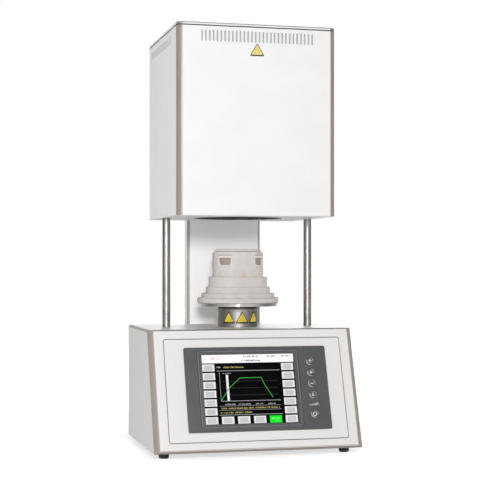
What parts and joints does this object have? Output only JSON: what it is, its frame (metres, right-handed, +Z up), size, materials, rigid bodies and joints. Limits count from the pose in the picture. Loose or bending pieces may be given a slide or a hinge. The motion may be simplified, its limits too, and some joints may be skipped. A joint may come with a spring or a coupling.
{
  "type": "dental sintering furnace",
  "caption": "Bench furnace with a heated head on two columns above a sloped control base, and a screw lift that raises a stepped plug and crucible into the mouth.",
  "frame": {"origin": "on the surface it stands on, under the middle of the whole footprint", "axes": "+X to the right as seen from the control panel, +Y to the back, +Z up"},
  "size_m": [0.381, 0.311, 0.77],
  "materials": {
    "base_paint": "fine grained silver-white",
    "head_paint": "smooth white",
    "plated_steel": "zinc plated",
    "satin_steel": "turned satin",
    "polished_steel": "polished",
    "spine_steel": "satin silver",
    "dark_steel": "heat darkened",
    "aluminium": "machined",
    "bronze": "machined",
    "laminated_iron": "varnished",
    "bezel_plastic": "satin dark grey",
    "key_plastic": "satin dark grey",
    "screen_glass": "polished, lit display behind",
    "circuit_board": "solder mask",
    "black_plastic": "moulded",
    "black_rubber": "moulded",
    "kiln_ceramic": "fired, matt",
    "ochre_ceramic": "fired, matt",
    "insulation": "pressed fibre",
    "element_glaze": "glazed",
    "cable_silicone": "silicone"
  },
  "bodies": {
    "base": {"base_pan": "plated_steel", "base_cover": "base_paint", "front_fascia": "base_paint", "base_rear_panel": "base_paint", "control_plate": "base_paint", "display_bezel": "bezel_plastic", "screen_glass": "screen_glass", "display_module": "circuit_board", "controller_board": "circuit_board", "transformer": "laminated_iron", "mains_inlet": "black_plastic", "switch_frame": "black_plastic", "fuse_holders": "black_plastic", "fan_frame": "black_plastic", "fan_guard": "polished_steel", "feet": "black_rubber", "column_left": "polished_steel", "column_right": "polished_steel", "column_fixings": "plated_steel", "drive_plate": "plated_steel", "lift_motor": "laminated_iron", "timing_belt": "black_rubber", "screw_bearings": "plated_steel", "guide_rods": "polished_steel", "lift_bridge": "aluminium", "tube_bush": "bronze", "head_floor": "head_paint", "mouth_ring": "dark_steel", "chamber_insulation": "insulation", "roof_insulation": "insulation", "heating_elements": "element_glaze", "element_clamps": "aluminium", "thermocouple": "insulation", "chamber_can": "plated_steel", "head_posts": "plated_steel", "head_shell": "head_paint", "head_rear_panel": "head_paint", "head_lid": "head_paint", "spine_channel": "spine_steel", "spine_cover": "spine_steel", "heater_cables": "cable_silicone"},
    "lift": {"lift_nut": "bronze", "lift_carriage": "aluminium", "guide_bushes": "bronze", "lift_tube": "satin_steel", "lift_flange": "satin_steel", "stepped_plug": "kiln_ceramic", "crucible_support": "ochre_ceramic"},
    "screw": {"lead_screw": "polished_steel", "screw_pulley": "aluminium"},
    "motor_shaft": {"motor_pulley": "aluminium"},
    "crucible": {"crucible": "kiln_ceramic"},
    "crucible_lid": {"crucible_lid": "kiln_ceramic"},
    "key_up": {"key_up": "key_plastic"},
    "key_plus": {"key_plus": "key_plastic"},
    "key_minus": {"key_minus": "key_plastic"},
    "key_down": {"key_down": "key_plastic"},
    "key_power": {"key_power": "key_plastic"},
    "switch_rocker": {"switch_rocker": "black_plastic"},
    "fan_rotor": {"fan_rotor": "black_plastic"}
  },
  "joints": [
    {"name": "lift_slide", "type": "slide", "parent": "base", "child": "lift", "axis": [0, 0, 1], "range_m": [0, 0.1585]},
    {"name": "screw_spin", "type": "hinge", "parent": "base", "child": "screw", "pos_m": [0, 0.0175, 0.03], "axis": [0, 0, 1], "range_deg": [-5710, 0]},
    {"name": "motor_spin", "type": "hinge", "parent": "base", "child": "motor_shaft", "pos_m": [0.098, 0.078, 0.03], "axis": [0, 0, 1], "range_deg": [-11420, 0]},
    {"name": "crucible_lift", "type": "slide", "parent": "lift", "child": "crucible", "axis": [0, 0, 1], "range_m": [0, 0.012]},
    {"name": "crucible_lid_lift", "type": "slide", "parent": "crucible", "child": "crucible_lid", "axis": [0, 0, 1], "range_m": [0, 0.012]},
    {"name": "key_up_press", "type": "slide", "parent": "base", "child": "key_up", "axis": [0, 0.947, -0.3211], "range_m": [0, 0.0005], "stiffness_N_per_m": 2000},
    {"name": "key_plus_press", "type": "slide", "parent": "base", "child": "key_plus", "axis": [0, 0.947, -0.3211], "range_m": [0, 0.0005], "stiffness_N_per_m": 2000},
    {"name": "key_minus_press", "type": "slide", "parent": "base", "child": "key_minus", "axis": [0, 0.947, -0.3211], "range_m": [0, 0.0005], "stiffness_N_per_m": 2000},
    {"name": "key_down_press", "type": "slide", "parent": "base", "child": "key_down", "axis": [0, 0.947, -0.3211], "range_m": [0, 0.0005], "stiffness_N_per_m": 2000},
    {"name": "key_power_press", "type": "slide", "parent": "base", "child": "key_power", "axis": [0, 0.947, -0.3211], "range_m": [0, 0.0005], "stiffness_N_per_m": 2000},
    {"name": "mains_switch", "type": "hinge", "parent": "base", "child": "switch_rocker", "pos_m": [-0.13135, 0.1265, 0.166], "axis": [1, 0, 0], "range_deg": [0, 16]},
    {"name": "fan_spin", "type": "hinge", "parent": "base", "child": "fan_rotor", "pos_m": [0.13135, 0.115, 0.15], "axis": [0, 1, 0], "continuous": true}
  ],
  "couplings": [
    {"joint": "screw_spin", "follows": "lift_slide", "rad_per_m": -628.32},
    {"joint": "motor_spin", "follows": "lift_slide", "rad_per_m": -1256.6}
  ]
}
